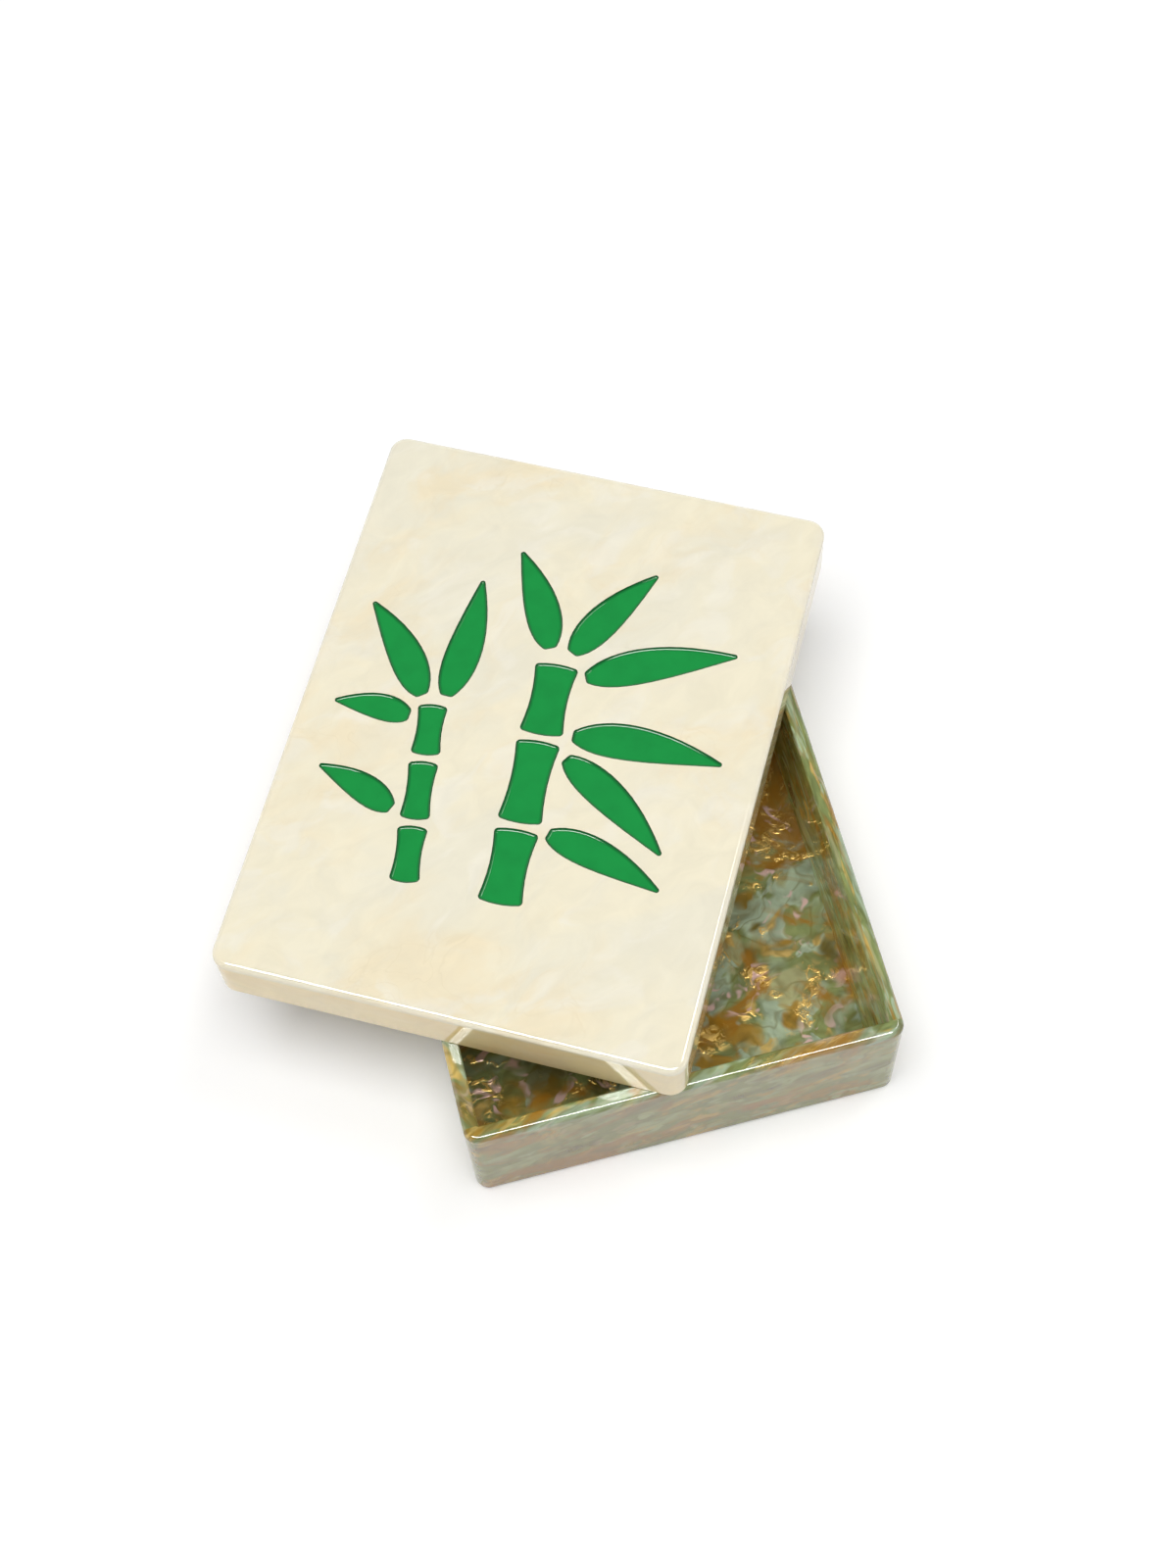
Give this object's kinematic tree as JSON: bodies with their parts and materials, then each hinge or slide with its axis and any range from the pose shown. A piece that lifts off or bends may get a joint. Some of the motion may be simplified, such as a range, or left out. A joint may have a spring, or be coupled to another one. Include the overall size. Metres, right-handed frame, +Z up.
{
  "type": "mahjong box",
  "caption": "Rectangular acrylic keepsake box: an open tray of butted sheets and a cap lid with green bamboo inlays, laid askew across the tray's rim.",
  "frame": {"origin": "centre of the tray's underside, the face that the box stands on", "axes": "+Z up out of the tray, +X along the tray's width to the right, +Y along the tray's length to the back; the lid's length is turned 29.1 degrees clockwise from +Y, seen from above"},
  "size_m": [0.2034, 0.2204, 0.065],
  "materials": {
    "ivory_acrylic": "polished, pearly marbled ivory",
    "green_inlay": "polished, clear deep green",
    "abalone_acrylic": "polished, translucent with mint, olive, amber and pink shell flakes"
  },
  "bodies": {
    "tray": {"tray_back_wall": "abalone_acrylic", "tray_floor": "abalone_acrylic", "tray_front_wall": "abalone_acrylic", "tray_left_wall": "abalone_acrylic", "tray_right_wall": "abalone_acrylic"},
    "lid": {"lid_back_wall": "ivory_acrylic", "lid_front_wall": "ivory_acrylic", "lid_left_wall": "ivory_acrylic", "lid_right_wall": "ivory_acrylic", "lid_top_plate": "ivory_acrylic", "inlay_leaf_crown_left": "green_inlay", "inlay_leaf_crown_right": "green_inlay", "inlay_leaf_foot_left": "green_inlay", "inlay_leaf_foot_right": "green_inlay", "inlay_leaf_left": "green_inlay", "inlay_leaf_lower_right": "green_inlay", "inlay_leaf_middle_left": "green_inlay", "inlay_leaf_right": "green_inlay", "inlay_leaf_upper_left": "green_inlay", "inlay_leaf_upper_right": "green_inlay", "inlay_thick_cane_1": "green_inlay", "inlay_thick_cane_2": "green_inlay", "inlay_thick_cane_3": "green_inlay", "inlay_thin_cane_1": "green_inlay", "inlay_thin_cane_2": "green_inlay", "inlay_thin_cane_3": "green_inlay"}
  },
  "joints": [
    {"name": "lid_lift", "type": "slide", "parent": "tray", "child": "lid", "axis": [0, 0, 1], "range_m": [0, 0.06]}
  ]
}
